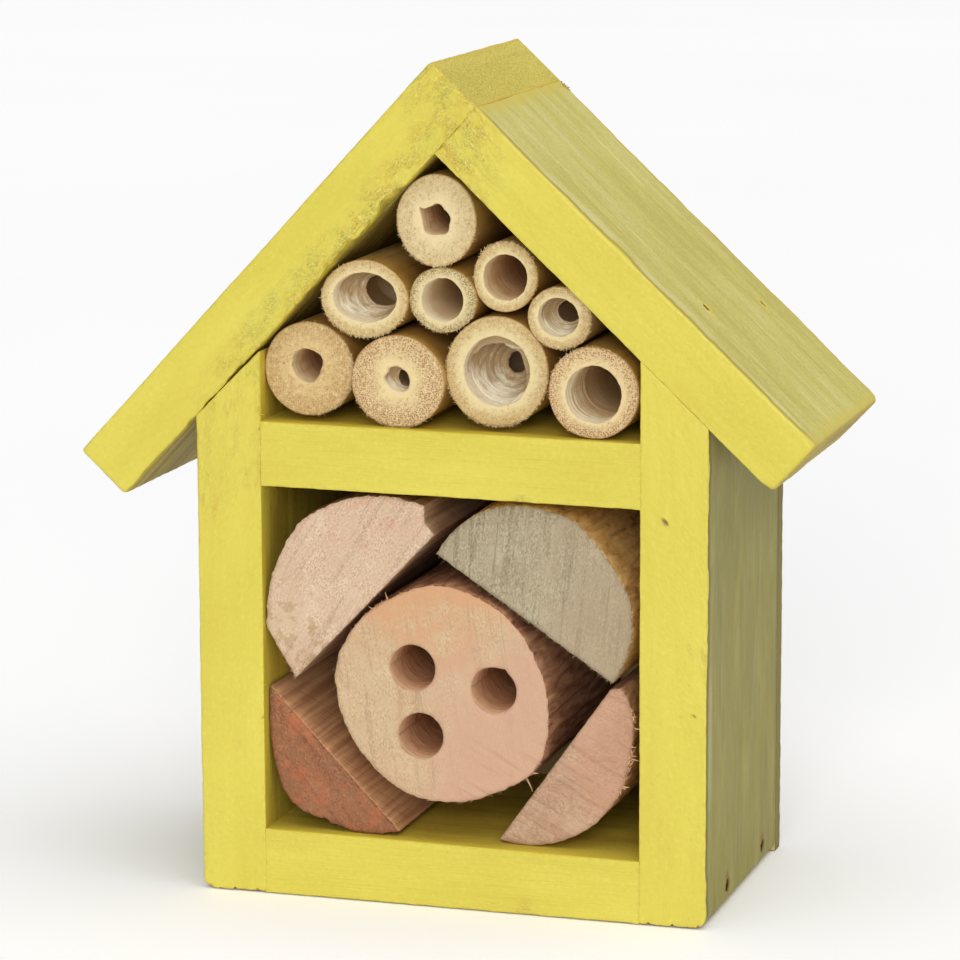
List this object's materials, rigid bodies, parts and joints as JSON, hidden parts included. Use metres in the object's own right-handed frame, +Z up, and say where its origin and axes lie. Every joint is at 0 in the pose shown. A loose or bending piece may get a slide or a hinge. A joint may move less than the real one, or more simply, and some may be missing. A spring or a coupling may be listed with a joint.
{
  "type": "insect hotel",
  "caption": "Small house-shaped insect hotel of painted boards, with bamboo tubes packed under the pitched roof over a stack of split logs round a drilled log.",
  "frame": {"origin": "middle of the base, on the surface that the house stands on", "axes": "+X to the right seen from the front, +Y to the rear, +Z up"},
  "size_m": [0.1437, 0.0619, 0.1604],
  "materials": {
    "painted_board": "opaque yellow paint on the front edges, thin yellow-olive stain on the other faces",
    "plywood": "thin plywood with a light yellow-brown stain",
    "bamboo_cane": "dry cane, satin skin and sawn ends",
    "round_log_wood": "sawn end grain, bark left on",
    "pale_log_wood": "sawn end grain, bark left on",
    "grey_log_wood": "weathered sawn end grain, bark left on",
    "red_log_wood": "rough red-brown sawn end grain",
    "pink_log_wood": "sawn end grain, bark left on",
    "nail_steel": "dull wire nails",
    "hanger_steel": "zinc-plated steel",
    "glue": "set wood glue"
  },
  "bodies": {
    "root": {"left_side_board": "painted_board", "right_side_board": "painted_board", "floor_board": "painted_board", "shelf_board": "painted_board", "left_roof_board": "painted_board", "right_roof_board": "painted_board", "back_panel": "plywood", "bamboo_top": "bamboo_cane", "bamboo_mid_1": "bamboo_cane", "bamboo_mid_2": "bamboo_cane", "bamboo_mid_3": "bamboo_cane", "bamboo_mid_4": "bamboo_cane", "bamboo_low_1": "bamboo_cane", "bamboo_low_2": "bamboo_cane", "bamboo_low_3": "bamboo_cane", "bamboo_low_4": "bamboo_cane", "drilled_log": "round_log_wood", "log_upper_left": "pale_log_wood", "log_upper_right": "grey_log_wood", "log_lower_left": "red_log_wood", "log_lower_right": "pink_log_wood", "side_to_floor_nails": "nail_steel", "side_to_shelf_nails": "nail_steel", "roof_to_side_nails": "nail_steel", "ridge_nails": "nail_steel", "back_panel_nails": "nail_steel", "hanger_plate": "hanger_steel", "hanger_nails": "hanger_steel", "bamboo_glue_dabs": "glue", "log_glue_dabs": "glue"}
  },
  "joints": []
}
